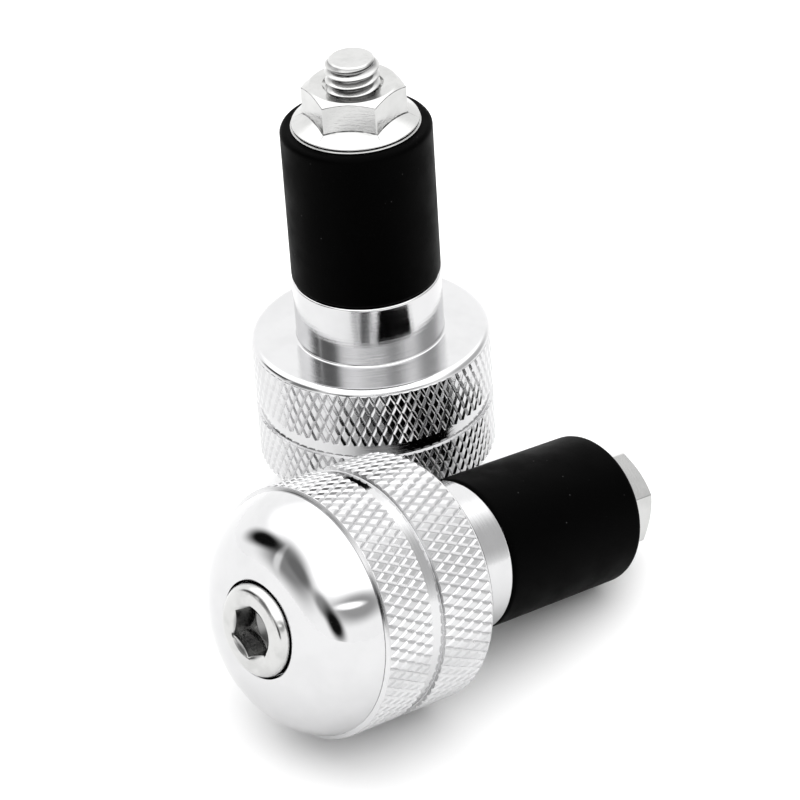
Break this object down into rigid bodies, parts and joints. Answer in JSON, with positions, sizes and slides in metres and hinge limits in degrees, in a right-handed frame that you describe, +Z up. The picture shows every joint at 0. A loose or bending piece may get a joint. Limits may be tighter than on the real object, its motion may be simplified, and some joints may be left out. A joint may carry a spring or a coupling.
{
  "type": "handlebar end plugs",
  "caption": "Handlebar end plugs: knurled, domed metal weights with rubber sleeves that a cap screw and a flange nut squeeze to grip the inside of the bar.",
  "frame": {"origin": "on the table, under the middle of the box round the pair", "axes": "+Z up, along the standing plug's axis from its dome to its nut; +X to the right and +Y away as the pair is seen from the front"},
  "size_m": [0.0484, 0.0694, 0.056],
  "materials": {
    "weight_metal": "polished, with knurled bands",
    "screw_steel": "bright plated",
    "nut_steel": "satin plated, forged",
    "sleeve_rubber": "matt"
  },
  "bodies": {
    "standing_weight": {"standing_weight": "weight_metal", "standing_sleeve": "sleeve_rubber"},
    "standing_screw": {"standing_screw": "screw_steel"},
    "standing_nut": {"standing_nut": "nut_steel"},
    "lying_weight": {"lying_weight": "weight_metal", "lying_sleeve": "sleeve_rubber"},
    "lying_screw": {"lying_screw": "screw_steel"},
    "lying_nut": {"lying_nut": "nut_steel"}
  },
  "joints": [
    {"name": "standing_screw_turn", "type": "hinge", "parent": "standing_weight", "child": "standing_screw", "pos_m": [-0.00544, 0.02117, 0.006], "axis": [0, 0, 1], "range_deg": [0, 1080]},
    {"name": "standing_nut_travel", "type": "slide", "parent": "standing_weight", "child": "standing_nut", "axis": [0, 0, -1], "range_m": [0, 0.003], "deforming": ["standing_sleeve"]},
    {"name": "lying_plug_lift", "type": "slide", "parent": "standing_weight", "child": "lying_weight", "axis": [0, 0, 1], "range_m": [0, 0.06]},
    {"name": "lying_screw_turn", "type": "hinge", "parent": "lying_weight", "child": "lying_screw", "pos_m": [-0.01499, -0.02449, 0.01607], "axis": [0.7515, 0.6329, -0.1862], "range_deg": [0, 1080]},
    {"name": "lying_nut_travel", "type": "slide", "parent": "lying_weight", "child": "lying_nut", "axis": [-0.7515, -0.6329, 0.1862], "range_m": [0, 0.003], "deforming": ["lying_sleeve"]}
  ],
  "couplings": [
    {"joint": "standing_nut_travel", "follows": "standing_screw_turn", "m_per_rad": 0.00015915},
    {"joint": "lying_nut_travel", "follows": "lying_screw_turn", "m_per_rad": 0.00015915}
  ]
}
